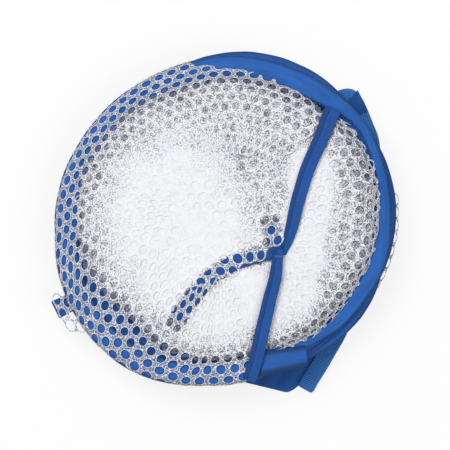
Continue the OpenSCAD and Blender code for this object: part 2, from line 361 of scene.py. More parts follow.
def net_fibre(colours):
    """Knitted filaments: a thread round each hole and crossing threads between, closed up where the net is gathered,
    with painted shade in its gaps where it is loose.
    """
    shader = Shader("net")
    uv = shader.uv()
    edge, gather, dense = (shader.attribute(name) for name in ("hole_edge", "gather", "dense"))
    fuzz = shader.cloud(uv, 11.0, 3.0, 0.6)
    blotch = shader.cloud(uv, 1.5, 3.0, 0.6)
    loose = shader.scaled(uv, (1.0, 1.5, 1))
    web = shader.web(uv, 5.6).math("MINIMUM", shader.web(loose, 3.8))
    reach = 0.07 + gather * 0.525 - dense * (0.10 + gather * 0.105) + (fuzz - 0.5) * 0.25
    border = shader.remap(edge, 0.64, 0.84)
    thread = shader.remap(reach - web, -0.03, 0.03).math("MAXIMUM", border)
    # Painted shade: dark flecks between the threads, more of them over the rim and where the net is loose, for the
    # shadowed gaps seen down into the bunch.
    rim = 1.0 - shader.remap(gather, 0.0, 0.12)
    shade_fleck = shader.remap(shader.cloud(uv, 6.8, 2.0, 0.7) + rim * 0.05, 0.51, 0.58) * (1.0 - border)
    shade_fleck = shade_fleck * shader.remap(gather, 0.14, 0.92, 0.95, 0.07) * (dense * 0.15 + 0.85)
    shader.set("Alpha", thread.math("MAXIMUM", shade_fleck).math("MAXIMUM", dense * shader.remap(gather, 0.10, 0.26)))
    tone = shader.remap(fuzz, 0.3, 0.65) * 0.6 + shader.remap(blotch, 0.35, 0.6) * 0.4
    base = shader.blend(tone, shade_of(colours.net, 0.84), colours.net[:])
    # Painted shade: where the net is loose, the gaps between the threads of the closed-up felt, and the flecks, are
    # painted a dark navy grey for the shade deep in the bunch.
    depth = ((1.0 - thread) * shader.remap(gather, 0.3, 0.9, 0.68, 0.0)).math("MAXIMUM", shade_fleck)
    shader.set("Base Color", shader.blend(depth, base, (0.055, 0.075, 0.14, 1)))
    shader.set("Roughness", shader.remap(fuzz, 0.3, 0.7, 0.5, 0.65))
    shader.relief(fuzz + thread, 0.25 * MM, 0.25)
    shader.set("Specular IOR Level", 0.3)
    return shader.material


def sewing_thread(colours):
    shader = Shader("thread")
    place = shader.place()
    ply = shader.cloud(place, 2600.0, 2.0)
    shader.set("Base Color", shader.blend(shader.remap(ply, 0.35, 0.65), shade_of(colours.thread, 0.7),
                                          shade_of(colours.thread, 1.6)))
    shader.set("Roughness", shader.remap(ply, 0.3, 0.7, 0.45, 0.65))
    shader.relief(ply, 0.15 * MM, 0.7)
    return shader.material


def drawn_steel(name, colour, rough):
    """Drawn or crimped metal with fine marks."""
    shader = Shader(name)
    place = shader.place()
    marks = shader.cloud(place, 900.0, 4.0, 0.6)
    stain = shader.cloud(place, 70.0, 3.0)
    shader.set("Base Color", shader.blend(shader.remap(stain, 0.35, 0.7), colour, shade_of(colour, 0.72)))
    shader.set("Roughness", shader.remap(marks, 0.3, 0.7, rough, rough + 0.18))
    shader.relief(marks, 0.05 * MM, 0.6)
    shader.set("Metallic", 1.0)
    return shader.material


MATERIALS = {}


def material(slot, colours):
    """The finish of a material slot, made once."""
    if slot not in MATERIALS:
        MATERIALS[slot] = {
            "sleeve_fabric": sleeve_fabric,
            "hem_fabric": hem_fabric,
            "binding_tape": binding_tape,
            "ribbon": ribbon,
            "webbing": webbing,
            "net": net_fibre,
            "thread": sewing_thread,
            "spring_wire": lambda c: drawn_steel("spring_wire", (0.56, 0.57, 0.58, 1), 0.25),
            "ferrule": lambda c: drawn_steel("ferrule", (0.62, 0.46, 0.22, 1), 0.3),
        }[slot](colours)
    return MATERIALS[slot]


# --------------------------------------------------------------------------
# Shapes
# --------------------------------------------------------------------------


def smooth(t):
    t = min(1.0, max(0.0, t))
    return t * t * (3 - 2 * t)


def round_table(table, degrees):
    """A smooth value at an angle, from (angle, value) rows that go once round."""
    degrees %= 360
    count = len(table)
    after = next((i for i, row in enumerate(table) if row[0] > degrees), count)

    def row(i):
        lap, place = divmod(i, count)
        return table[place][0] + 360 * lap, table[place][1]

    (a0, v0), (a1, v1), (a2, v2), (a3, v3) = (row(after + k) for k in (-2, -1, 0, 1))
    span = a2 - a1
    t = (degrees - a1) / span
    m1, m2 = (v2 - v0) / (a2 - a0) * span, (v3 - v1) / (a3 - a1) * span
    return ((2 * t**3 - 3 * t**2 + 1) * v1 + (t**3 - 2 * t**2 + t) * m1
            + (3 * t**2 - 2 * t**3) * v2 + (t**3 - t**2) * m2)


def path_table(rows, x):
    """A value from rows of (x, value), x rising, straight between them."""
    if x <= rows[0][0]:
        return rows[0][1]
    for (x0, v0), (x1, v1) in zip(rows, rows[1:]):
        if x <= x1:
            return v0 + (v1 - v0) * (x - x0) / (x1 - x0)
    return rows[-1][1]


def along_path(points, t):
    """A point and its direction, t from 0 to 1 along a smooth path through the points."""
    points = [Vector(p) for p in points]
    lengths = [0.0]
    for a, b in zip(points, points[1:]):
        lengths.append(lengths[-1] + (b - a).length)
    target = t * lengths[-1]
    i = next((k for k in range(1, len(points)) if lengths[k] >= target - 1e-12), len(points) - 1)
    span = lengths[i] - lengths[i - 1]
    u = (target - lengths[i - 1]) / span
    p1, p2 = points[i - 1], points[i]
    p0 = points[i - 2] if i > 1 else p1 * 2 - p2
    p3 = points[i + 1] if i + 1 < len(points) else p2 * 2 - p1
    m1, m2 = (p2 - p0) / 2, (p3 - p1) / 2
    place = (p1 * (2 * u**3 - 3 * u**2 + 1) + m1 * (u**3 - 2 * u**2 + u)
             + p2 * (3 * u**2 - 2 * u**3) + m2 * (u**3 - u**2))
    way = (p1 * (6 * u**2 - 6 * u) + m1 * (3 * u**2 - 4 * u + 1)
           + p2 * (6 * u - 6 * u**2) + m2 * (3 * u**2 - 2 * u))
    return place, way.normalized()


def path_length(points):
    return sum((Vector(b) - Vector(a)).length for a, b in zip(points, points[1:]))


def ripple(place, size, seed):
    """Smooth noise of about -1 to 1 with features of the given size."""
    return noise.noise(Vector((place[0] / size, place[1] / size, seed * 3.7 + 0.5)))


class Turn:
    """One turn of a hoop.

    Its middle and radius are the frame's; the tables by angle give what the fabric adds, in millimetres.
    """

    def __init__(self, node, bulge, width, lift=((0, 0), (180, 0))):
        low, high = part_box(node)
        self.middle = Vector(((low.x + high.x) / 2, (low.y + high.y) / 2))
        self.radius = (high.x - low.x) / 2
        self.height = (low.z + high.z) / 2
        self.bulge, self.widths, self.lifts = bulge, width, lift

    def outer(self, angle):
        return self.radius + round_table(self.bulge, math.degrees(angle)) * MM

    def width(self, angle):
        return round_table(self.widths, math.degrees(angle)) * MM

    def lift(self, angle):
        return round_table(self.lifts, math.degrees(angle)) * MM

    def at(self, angle, inward, up):
        """The point this far in from the outer edge and above the middle of the sleeve."""
        r = self.outer(angle) - inward
        return Vector((self.middle.x + r * math.cos(angle), self.middle.y + r * math.sin(angle),
                       self.height + self.lift(angle) + up))

    def polar(self, place):
        """Angle of a point, and how far it is inside the outer edge."""
        away = Vector(place[:2]) - self.middle
        angle = math.atan2(away.y, away.x)
        return angle, self.outer(angle) - away.length


TOP_RADIUS = 123.1  # mean reach of the top turn that the tables below are given from


def from_mean(rows):
    return tuple((angle, reach - TOP_RADIUS) for angle, reach in rows)


TOP_EDGE = from_mean((
    (0, 128), (20, 129.3), (37, 130.6), (51, 128.4), (60, 127), (72, 124.8), (84, 123.4), (105, 120), (119, 119),
    (134, 119), (152, 120.4), (168, 122.8), (187, 124.9), (198, 128), (212, 130.6), (225, 132), (240, 132),
    (254, 129), (265, 125.8), (277, 124.2), (292, 121), (303, 117), (312, 119.4), (321, 122.6), (332, 125.4),
    (342, 128.2), (351, 129)))
TOP_WIDTH = ((0, 10.5), (12, 8), (27, 7), (37, 8.5), (46, 14), (58, 17), (75, 16.5), (90, 17), (110, 18.5),
             (135, 19), (180, 18), (225, 18), (270, 18), (288, 17), (297, 11), (305, 7), (313, 8.5), (322, 11),
             (334, 13), (348, 12.5))
TOP_LIFT = ((0, 0), (30, 0.6), (60, 0.5), (100, 0), (200, 0), (330, 0.3))

TURNS = {
    "front_top": Turn("front_sleeve_top", TOP_EDGE, TOP_WIDTH, TOP_LIFT),
    "back_top": Turn("back_sleeve_top",
                     ((0, -1), (30, 0), (90, -1), (150, 0), (195, 5), (225, 7), (260, 6), (300, 1)),
                     ((0, 12), (24, 9), (42, 10), (60, 14), (90, 14), (150, 16), (200, 16), (225, 17), (270, 14),
                      (320, 14))),
    "front_middle": Turn("front_sleeve_middle",
                         ((0, 0), (45, -0.5), (120, 0.7), (180, -0.8), (250, 0.6), (310, -0.4)),
                         ((0, 16), (90, 17), (180, 16), (270, 17))),
    "back_middle": Turn("back_sleeve_middle",
                        ((0, 0), (60, 0.6), (120, -0.7), (180, 0.5), (240, -0.5), (295, 0.4), (317, 2.6), (336, 3.4),
                         (349, 1)),
                        ((0, 16), (90, 17), (180, 16), (300, 14.5))),
    "front_lower": Turn("front_sleeve_lower",
                        ((0, 0), (80, 0.3), (170, -0.3), (260, 0.3)), ((0, 17), (100, 16), (200, 17))),
    "back_lower": Turn("back_sleeve_lower",
                       ((0, 0), (100, -0.3), (190, 0.3), (280, -0.3)), ((0, 17), (120, 16.5), (230, 17))),
}
LOBES = {LOWER: ("back_lower", "front_lower"), MIDDLE: ("front_middle", "back_middle"), TOP: ("back_top", "front_top")}


def body_of_turn(name):
    return next(lobe for lobe, turns in LOBES.items() if name in turns)


def mid_height(node):
    low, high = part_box(node)
    return (low.z + high.z) / 2


def finish_piece(name, bm, slot, context, body=None, replaces=()):
    """Makes the object, with its finish, and lets it ride on its body."""
    mesh = bpy.data.meshes.new(name)
    bm.to_mesh(mesh)
    bm.free()
    mesh.shade_smooth()
    mesh.materials.append(material(slot, context.scene.basket_colours))
    piece = bpy.data.objects.new(name, mesh)
    context.scene.collection.objects.link(piece)
    if replaces:
        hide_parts(*replaces)
    if body:
        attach(piece, body)
    return piece


def subdivide(piece):
    rounder = piece.modifiers.new("Subdivision", "SUBSURF")
    rounder.levels = rounder.render_levels = 1


def thicken(piece, thickness):
    """Gives a flat cloth its thickness, half to each side, and rounds it."""
    cloth = piece.modifiers.new("Thickness", "SOLIDIFY")
    cloth.thickness, cloth.offset = thickness, 0
    subdivide(piece)


def refinish(context, nodes, slot):
    """Gives solids of the frame that stay visible their own finish."""
    for node in nodes:
        slots = frame["nodes"][node].data.materials
        slots.clear()
        slots.append(material(slot, context.scene.basket_colours))


def map_uv(bm, where):
    """A UV map in centimetres: where(co) gives each point's place on the flat cloth."""
    layer = bm.loops.layers.uv.new("UVMap")
    for face in bm.faces:
        for loop in face.loops:
            loop[layer].uv = where(loop.vert.co)


def ring(sides, steps, span=2 * math.pi, start=0.0):
    """A thin ring of unit radius, or part of one with capped ends, to be reshaped point by point."""
    bm = bmesh.new()
    whole = span > 6.28
    upright = Matrix.Rotation(start, 4, "Z") @ Matrix.Translation((1, 0, 0)) @ Matrix.Rotation(math.pi / 2, 4, "X")
    bmesh.ops.create_circle(bm, cap_ends=not whole, segments=sides, radius=RING_BAR, matrix=upright)
    bmesh.ops.spin(bm, geom=bm.verts[:] + bm.edges[:] + bm.faces[:], cent=(0, 0, 0), axis=(0, 0, 1),
                   angle=span, steps=steps, use_merge=whole)
    bmesh.ops.remove_doubles(bm, verts=bm.verts[:], dist=RING_BAR * 0.01)
    bmesh.ops.recalc_face_normals(bm, faces=bm.faces[:])
    return bm


def ring_place(co):
    """Angle round the ring, and the outward and upward parts of the place on its bar."""
    return math.atan2(co.y, co.x), (math.hypot(co.x, co.y) - 1) / RING_BAR, co.z / RING_BAR


def ring_uv(bm, radius, girth):
    """UV in centimetres: along the ring, then round its bar."""
    layer = bm.loops.layers.uv.new("UVMap")
    for face in bm.faces:
        centre = face.calc_center_median()
        angle0, out0, up0 = ring_place(centre)
        bar0 = math.atan2(up0, out0)
        for loop in face.loops:
            angle, out, up = ring_place(loop.vert.co)
            bar = math.atan2(up, out)
            angle += 2 * math.pi * round((angle0 - angle) / (2 * math.pi))
            bar += 2 * math.pi * round((bar0 - bar) / (2 * math.pi))
            loop[layer].uv = (angle * radius / CM, bar / (2 * math.pi) * girth / CM)


def puffed(value, power):
    return math.copysign(abs(value) ** power, value)


def sleeve_offset(out, up, angle, width, thickness, crease, seed):
    """Inward and upward place on a soft flattened sleeve."""
    around = Vector((math.cos(angle), math.sin(angle), 0))
    long_crease = noise.noise(around * 2.6 + Vector((0, 0, 2.6 * out + seed + (9 if up < 0 else 0))))
    fine_crease = noise.noise(around * 8.0 + Vector((0, 0, 6.0 * out + seed * 2 + (9 if up < 0 else 0))))
    rim = 0.6 * noise.noise(around * 7.0 + Vector((0, 0, seed + (3 if out < 0 else 0))))
    swell = 1 + crease * (long_crease + 0.5 * fine_crease) * (1 - 0.6 * abs(out) ** 3)
    inward = width / 2 * (1 - puffed(out, 0.85)) - rim * 0.7 * MM * abs(out)
    return inward, thickness / 2 * puffed(up, 0.8) * swell


def sleeve_seed(name):
    return 11.3 * (1 + list(TURNS).index(name))


def sleeve(context, name):
    hoops = context.scene.basket_hoops
    turn = TURNS[name]
    bm = ring(SLEEVE_SIDES, SLEEVE_STEPS)
    ring_uv(bm, turn.radius, SLEEVE_GIRTH * CM)
    for vert in bm.verts:
        angle, out, up = ring_place(vert.co)
        inward, rise = sleeve_offset(out, up, angle, turn.width(angle), hoops.sleeve_thickness,
                                     hoops.crease_depth, sleeve_seed(name))
        vert.co = turn.at(angle, inward, rise)
        vert.co.z = max(vert.co.z, ABOVE_FLOOR)
    hoop, level = name.split("_")
    return finish_piece(f"{level}_turn_{hoop}_sleeve", bm, "sleeve_fabric", context, body_of_turn(name),
                        [f"{hoop}_sleeve_{level}"])


def hoop_wire(context, name):
    hoops = context.scene.basket_hoops
    turn = TURNS[name]
    bm = ring(WIRE_SIDES, WIRE_STEPS)
    ring_uv(bm, turn.radius, WIRE_GIRTH)
    for vert in bm.verts:
        angle, out, up = ring_place(vert.co)
        vert.co = turn.at(angle, wire_inset(name, turn, angle) - out * hoops.wire_diameter / 2,
                          up * hoops.wire_diameter / 2)
    hoop, level = name.split("_")
    return finish_piece(f"{level}_turn_{hoop}_wire", bm, "spring_wire", context, body_of_turn(name),
                        [f"{hoop}_wire_{level}"])


def wire_inset(name, turn, angle):
    """The wire runs in the middle of the sleeve; the lower turns keep to the ferrules' line."""
    return FERRULE_INSET if name.endswith("lower") else turn.width(angle) / 2


def stitch_template():
    """One sewn stitch, a plump grain 1 long."""
    bm = bmesh.new()
    bmesh.ops.create_uvsphere(bm, u_segments=6, v_segments=4, radius=0.5,
                              matrix=Matrix.Rotation(math.pi / 2, 4, "Y"))
    mesh = bpy.data.meshes.new("stitch")
    bm.to_mesh(mesh)
    bm.free()
    return mesh


def add_stitch(bm, template, place, way, up, length=2.2 * MM, width=0.65 * MM, height=0.5 * MM):
    """Lays one stitch at a place, along a direction."""
    way = way.normalized()
    side = up.cross(way).normalized()
    frame_axes = Matrix((way * length, side * width, way.cross(side) * height)).transposed().to_4x4()
    copy = template.copy()
    copy.transform(Matrix.Translation(place) @ frame_axes)
    bm.from_mesh(copy)
    bpy.data.meshes.remove(copy)


def sleeve_stitches(context, lobe):
    """A row of stitches near the inner edge of each sleeve of a lobe, above and below."""
    hoops = context.scene.basket_hoops
    bm = bmesh.new()
    template = stitch_template()
    for name in LOBES[lobe]:
        turn = TURNS[name]
        count = int(2 * math.pi * turn.radius / hoops.stitch_spacing)
        for i in range(count):
            angle = 2 * math.pi * i / count
            places = []
            for near in (angle - STITCH_TURN, angle + STITCH_TURN):
                inward, rise = sleeve_offset(SEWN_AT, math.sqrt(1 - SEWN_AT * SEWN_AT), near, turn.width(near),
                                             hoops.sleeve_thickness, hoops.crease_depth, sleeve_seed(name))
                places.append(turn.at(near, inward, rise))
            add_stitch(bm, template, (places[0] + places[1]) / 2, places[1] - places[0], Vector((0, 0, 1)))
    bpy.data.meshes.remove(template)
    return finish_piece(f"{lobe}_sleeve_stitches", bm, "thread", context, lobe)


def crossover(context, name, first, second, middle_angle, half_span):
    """The sleeve that climbs from a turn of one lobe to a turn of the next."""
    hoops = context.scene.basket_hoops
    low, high = TURNS[first], TURNS[second]
    start, span = math.radians(middle_angle - half_span), math.radians(2 * half_span)
    bm = ring(20, 48, span, start)
    ring_uv(bm, low.radius, SLEEVE_GIRTH * CM)
    for vert in bm.verts:
        angle, out, up = ring_place(vert.co)
        t = smooth((angle - start) / span)
        width = (low.width(angle) * (1 - t) + high.width(angle) * t) * CROSSING_WIDTH
        inward, rise = sleeve_offset(out, up, angle, width, hoops.sleeve_thickness * CROSSING_HEIGHT,
                                     hoops.crease_depth, CROSSING_SEED)
        a, b = low.at(angle, inward + 0.8 * MM, rise), high.at(angle, inward + 0.8 * MM, rise)
        vert.co = a.lerp(b, t)
    piece = finish_piece(name, bm, "sleeve_fabric", context)
    middle = math.radians(middle_angle)
    centre = low.at(middle, 8 * MM, 0).lerp(high.at(middle, 8 * MM, 0), 0.5)
    body_of_turn(first)
    body_of_turn(second)
    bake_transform(piece)
    return piece


# --------------------------------------------------------------------------
# Net
# --------------------------------------------------------------------------


def net_cells(width, height, pitch):
    """Middles of the holes of a net, row by row, from one corner of the sheet."""
    row_step = pitch * ROOT_3 / 2
    for row in range(int(height / row_step) + 1):
        for column in range(int(width / pitch) + 1):
            yield (column + 0.5 * (row % 2)) * pitch, row * row_step


HEAP_TOP, HEAP_RIM, HEAP_REACH = 31.0 * MM, 29.6 * MM, 115 * MM


def heap(p):
    """Height of the top of the bunched net in the basket's mouth."""
    away = min(1.0, math.hypot(p[0], p[1]) / HEAP_REACH)
    return HEAP_RIM + (HEAP_TOP - HEAP_RIM) * (1 - away**2.4)


BUNCH_EDGE = ((0, 14), (28, 13), (45, 16), (62, 17), (95, 15), (105, 15), (130, 12), (150, 11), (173, 12.5), (195, 18),
              (225, 31), (243, 26), (265, 19), (277, 18), (300, 14), (330, 14))


def inside_bunch(p):
    """How far a point is inside the edge of the bunched net."""
    angle, inset = TURNS["front_top"].polar(p)
    return inset - round_table(BUNCH_EDGE, math.degrees(angle)) * MM


def distance_to_path(p, points):
    """Shortest level distance from a point to a path."""
    best = 1.0
    for a, b in zip(points, points[1:]):
        ax, ay = a[0], a[1]
        dx, dy = b[0] - ax, b[1] - ay
        t = min(1.0, max(0.0, ((p[0] - ax) * dx + (p[1] - ay) * dy) / (dx * dx + dy * dy)))
        best = min(best, math.hypot(p[0] - ax - t * dx, p[1] - ay - t * dy))
    return best


LONG_TIE = ((0.0385, -0.0215), (0.0240, -0.0245), (0.0100, -0.0290), (-0.0035, -0.0360), (-0.0145, -0.0450),
            (-0.0240, -0.0560), (-0.0310, -0.0660), (-0.0365, -0.0745))
TIE_TAIL = ((0.0385, -0.0215), (0.0375, -0.0120), (0.0350, -0.0010))


def tie_distance(p):
    return min(distance_to_path(p, LONG_TIE), distance_to_path(p, TIE_TAIL))


# Where the net has closed up: two paths, how far each reaches to its sides, and over what width it fades out.
HEART, HEART_REACH, HEART_FADE = ((-0.038, 0.010), (-0.028, -0.022), (-0.008, -0.046)), 18 * MM, 50 * MM
BAND, BAND_REACH, BAND_FADE = ((0.066, 0.040), (0.062, 0.0), (0.056, -0.035), (0.050, -0.075)), 9 * MM, 14 * MM
LEAST_CLOSED, OPEN_OVER_TIE = 0.26, 0.04
TIE_REACH, TIE_FADE = 6.4 * MM, 2 * MM


def closeness(p):
    """How far the net has closed up, from 0 over the rim to 1 in the heart of the bunch."""
    inside = inside_bunch(p)
    if inside <= 0:
        return 0.0
    heart = 1 - smooth((distance_to_path(p, HEART) - HEART_REACH + 12 * MM * ripple(p, 0.012, 3)) / HEART_FADE)
    band = 1 - smooth((distance_to_path(p, BAND) - BAND_REACH + 4 * MM * ripple(p, 0.01, 4)) / BAND_FADE)
    closed = max(heart, band)
    patchy = 0.16 * ripple(p, 0.009, 5)
    # Over the tie and just beside it the net is opened so the tie shows; in the band beside it the net finish also
    # paints its gaps dark as shade.
    off_tie = OPEN_OVER_TIE + (1 - OPEN_OVER_TIE) * smooth((tie_distance(p) - TIE_REACH) / TIE_FADE)
    gathered = min(1.0, LEAST_CLOSED + patchy * (1.3 - closed) + (1 - LEAST_CLOSED) * closed)
    return off_tie * gathered * (0.45 * smooth(inside / (10 * MM)) + 0.55 * smooth(inside / (34 * MM)))


def lay_down(total, bm, place, uv_shift):
    """Gives a flat patch its UV map, lays it out with place(x, y), and adds it to the rest."""
    map_uv(bm, lambda co: (co.x / CM + uv_shift, co.y / CM + uv_shift * 0.7))
    gather = bm.verts.layers.float.new("gather")
    for vert in bm.verts:
        vert.co = place(vert.co.x, vert.co.y)
        vert[gather] = closeness(vert.co)
    mesh = bpy.data.meshes.new("patch")
    bm.to_mesh(mesh)
    bm.free()
    total.from_mesh(mesh)
    bpy.data.meshes.remove(mesh)


def trimmed(bm, keep):
    """Cuts away the faces whose middle doesn't lie where it should."""
    def gone(face):
        middle = face.calc_center_median()
        return not keep(middle.x, middle.y)
    bmesh.ops.delete(bm, geom=[face for face in bm.faces if gone(face)], context="FACES")


def net_patch(total, cells, place, context, uv_shift=0.0, wall=None, keep=None):
    """Knits a patch with a hole round each cell and lays it out with place(x, y)."""
    net = context.scene.basket_net
    bm = bmesh.new()
    for x, y in cells:
        bmesh.ops.create_circle(bm, cap_ends=True, segments=6, radius=net.pitch / ROOT_3,
                                matrix=Matrix.Translation((x, y, 0)))
    bmesh.ops.remove_doubles(bm, verts=bm.verts[:], dist=net.pitch * 0.02)
    holes = bm.faces[:]
    bmesh.ops.inset_individual(bm, faces=holes, thickness=(wall or net.wall) / 2, use_even_offset=True)
    edge = bm.verts.layers.float.new("hole_edge")
    for hole in holes:
        for vert in hole.verts:
            vert[edge] = 1.0
    bmesh.ops.delete(bm, geom=holes, context="FACES_ONLY")
    if keep:
        trimmed(bm, keep)
    lay_down(total, bm, place, uv_shift)


FELT_SIDE, FELT_REACH = 84, 108 * MM


def felt_patch(total, offset, seed, keep, depth=0.3 * MM):
    """A patch so tightly gathered that its holes have closed, this far above the top of the bunch. Where the net is
    less closed, the net finish paints its gaps dark as shade.
    """
    bm = bmesh.new()
    bmesh.ops.create_grid(bm, x_segments=FELT_SIDE, y_segments=FELT_SIDE, size=FELT_REACH)
    dense = bm.verts.layers.float.new("dense")
    for vert in bm.verts:
        vert[dense] = 1.0

    def place(x, y):
        p = Vector((x, y, 0))
        p.x += 0.8 * MM * ripple(p, 0.007, seed)
        p.y += 0.8 * MM * ripple(p, 0.007, seed + 1)
        p.z = heap(p) + offset + depth * (ripple(p, 0.02, seed + 2) + 0.5 * ripple(p, 0.007, seed + 3))
        return p

    trimmed(bm, lambda x, y: keep(place(x, y)))
    lay_down(total, bm, place, seed * 2.3)


class Layer:
    """One loose layer of bunched net over a round area, at a height or at a height over the top of the bunch."""

    def __init__(self, middle, radius, height, turn_degrees, squeeze, seed, depth, on_heap=False, shift=5 * MM):
        self.middle, self.radius, self.height = Vector(middle), radius, height
        self.turn, self.squeeze, self.seed = math.radians(turn_degrees), squeeze, seed
        self.depth, self.on_heap, self.shift = depth, on_heap, shift

    def place(self, x, y):
        """Where a point of the flat sheet lies, its sheet centred on the layer's middle."""
        x, y = x * self.squeeze[0], y * self.squeeze[1]
        c, s = math.cos(self.turn), math.sin(self.turn)
        p = Vector((x * c - y * s, x * s + y * c))
        dx = ripple(p, 0.05, self.seed) + 0.35 * ripple(p, 0.018, self.seed + 1)
        dy = ripple(p, 0.05, self.seed + 2) + 0.35 * ripple(p, 0.018, self.seed + 3)
        p = p + Vector((dx, dy)) * self.shift
        rise = ripple(p, 0.028, self.seed + 4) + 0.5 * ripple(p, 0.011, self.seed + 5)
        p = p + self.middle
        return Vector((p.x, p.y, self.height + rise * self.depth + (heap(p) if self.on_heap else 0)))


def add_layer(total, context, layer, keep=lambda p: True, lift=lambda p: 0.0):
    net = context.scene.basket_net
    size = 2.3 * layer.radius
    width, height = size / layer.squeeze[0], size / layer.squeeze[1]
    off_x, off_y = width / 2, height / 2

    def place(x, y):
        p = layer.place(x - off_x, y - off_y)
        p.z += lift(p)
        return p

    def wanted(x, y):
        p = place(x, y)
        return (p.xy - layer.middle).length < layer.radius * (1 + 0.04 * ripple(p, 0.02, layer.seed)) and keep(p)

    cells = [(x, y) for x, y in net_cells(width, height, net.pitch) if wanted(x, y)]
    net_patch(total, cells, place, context, layer.seed * 3.1)


def add_layers(total, context, rows, depth, on_heap=False, keep=lambda p: True):
    """Adds layers from rows of (x, y, radius, height, turn, squeeze, seed), lengths in millimetres."""
    for x, y, radius, height, turn, squeeze, seed in rows:
        add_layer(total, context, Layer((x * MM, y * MM), radius * MM, height * MM, turn, squeeze, seed, depth,
                                        on_heap), keep)


def over_tie(p):
    """How far the net is lifted where it passes over the ribbon tie."""
    return 0.9 * MM * (1 - smooth((tie_distance(p) - 6 * MM) / (7 * MM)))


SEAM = ((-111, 20), (-81, 29), (-46, 38), (-20, 44), (14, 55), (53, 67), (80, 79), (140, 110))


def right_of_seam(p):
    """How far a point is to the right of the seam."""
    return p.x - path_table(SEAM, p.y / MM) * MM


# --------------------------------------------------------------------------
# Operators
# --------------------------------------------------------------------------


class BASKET_OT_sleeves(bpy.types.Operator):
    """Sews the six sleeves, one for each turn of the two hoops"""

    bl_idname = "basket.sleeves"
    bl_label = "Hoop sleeves"

    def execute(self, context):
        for name in TURNS:
            sleeve(context, name)
        for lobe in LOBES:
            sleeve_stitches(context, lobe)
        crossover(context, "lower_crossover", "front_lower", "front_middle", middle_angle=45, half_span=17)
        crossover(context, "upper_crossover", "back_middle", "back_top", middle_angle=-53, half_span=17)
        return {"FINISHED"}


class BASKET_OT_wires(bpy.types.Operator):
    """Coils the spring wires and finishes their ferrules"""

    bl_idname = "basket.wires"
    bl_label = "Hoop wires"

    def execute(self, context):
        for name in TURNS:
            hoop_wire(context, name)
        refinish(context, ("front_ferrule", "back_ferrule"), "ferrule")
        return {"FINISHED"}


def finish_net(name, bm, context, body, node):
    """Makes a panel of net and rounds it with one level of subdivision."""
    piece = finish_piece(name, bm, "net", context, body, [node])
    subdivide(piece)


class BASKET_OT_left_net(bpy.types.Operator):
    """Bunches the left side panel inside the top lobe"""

    bl_idname = "basket.left_net"
    bl_label = "Left side net"

    def execute(self, context):
        net = context.scene.basket_net
        bm = bmesh.new()
        add_layers(bm, context, (
            (1, 4, 98, 22.6, 47, (0.9, 0.8), 2.2),
            (0, 4, 99, 24.8, 80, (0.8, 0.95), 3.5),
        ), net.crumple)
        felt_patch(bm, -1.0 * MM, 6.1, lambda p: inside_bunch(p) > 3 * MM)
        felt_patch(bm, -0.15 * MM, 7.4, lambda p: inside_bunch(p) > 0 and right_of_seam(p) < 0)
        finish_net("left_side_net", bm, context, TOP, "left_net")
        return {"FINISHED"}


RIM_PATH = ((-0.5, 22.4), (-0.6, 25.2), (-0.2, 27.8), (1.8, 29.8), (5, 30.7), (10, 30.9), (15, 30.7), (20, 30.2),
            (26, 30.2), (34, 30.4), (45, 30.6), (60, 30.85), (90, 31.15))


def rim_profile():
    """The net's way over the rim as rows of (distance along it, inset, height)."""
    rows, gone = [], 0.0
    for i, (inset, height) in enumerate(RIM_PATH):
        if i:
            gone += math.hypot(inset - RIM_PATH[i - 1][0], height - RIM_PATH[i - 1][1])
        rows.append((gone, inset, height))
    return rows


RIM_ROWS = rim_profile()
RIM_INSETS = [(row[0], row[1]) for row in RIM_ROWS]
RIM_HEIGHTS = [(row[0], row[2]) for row in RIM_ROWS]
WRAP_START, WRAP_END = 40, 283


def row_drift(degrees):
    """How far the rows have slid outwards over the rim by this angle, in millimetres."""
    return path_table(((184, 0), (200, 4), (240, 34), (258, 42)), degrees)


def row_stretch(degrees):
    """How far apart rows lie over the rim, as a share of their relaxed distance."""
    return path_table(((100, 0.60), (184, 0.63), (205, 0.58), (250, 0.58), (275, 0.60)), degrees)


RIM_STRETCH = 11.25 / 9.75  # how far a hole is pulled out along the rim
CLOSE_ROWS, LOOSE_ROWS, LOOSE_SHARE = 42, 67, 0.94
RIM_TIE_START = 204.5  # angle at which the fringe over the rim tie starts
RIM_NET_REACH = 86  # how far the net goes on from the rim before the bunch covers it, in millimetres


def way_gone(relaxed, near):
    """How far over the rim a row lies. Rows are close together on the rim, and loose where they lie further in."""
    ease = LOOSE_ROWS - CLOSE_ROWS
    if relaxed < LOOSE_ROWS:
        return near * relaxed + (LOOSE_SHARE - near) * max(0.0, relaxed - CLOSE_ROWS) ** 2 / (2 * ease)
    return near * LOOSE_ROWS + (LOOSE_SHARE - near) * ease / 2 + LOOSE_SHARE * (relaxed - LOOSE_ROWS)


def bare_rim(degrees):
    """Where the net's edge lies on its way over the rim, where the sleeve is bare, in millimetres."""
    return path_table(((44, 24), (60, 22), (75, 19), (87, 15.5), (98, 11), (105, -2)), degrees)


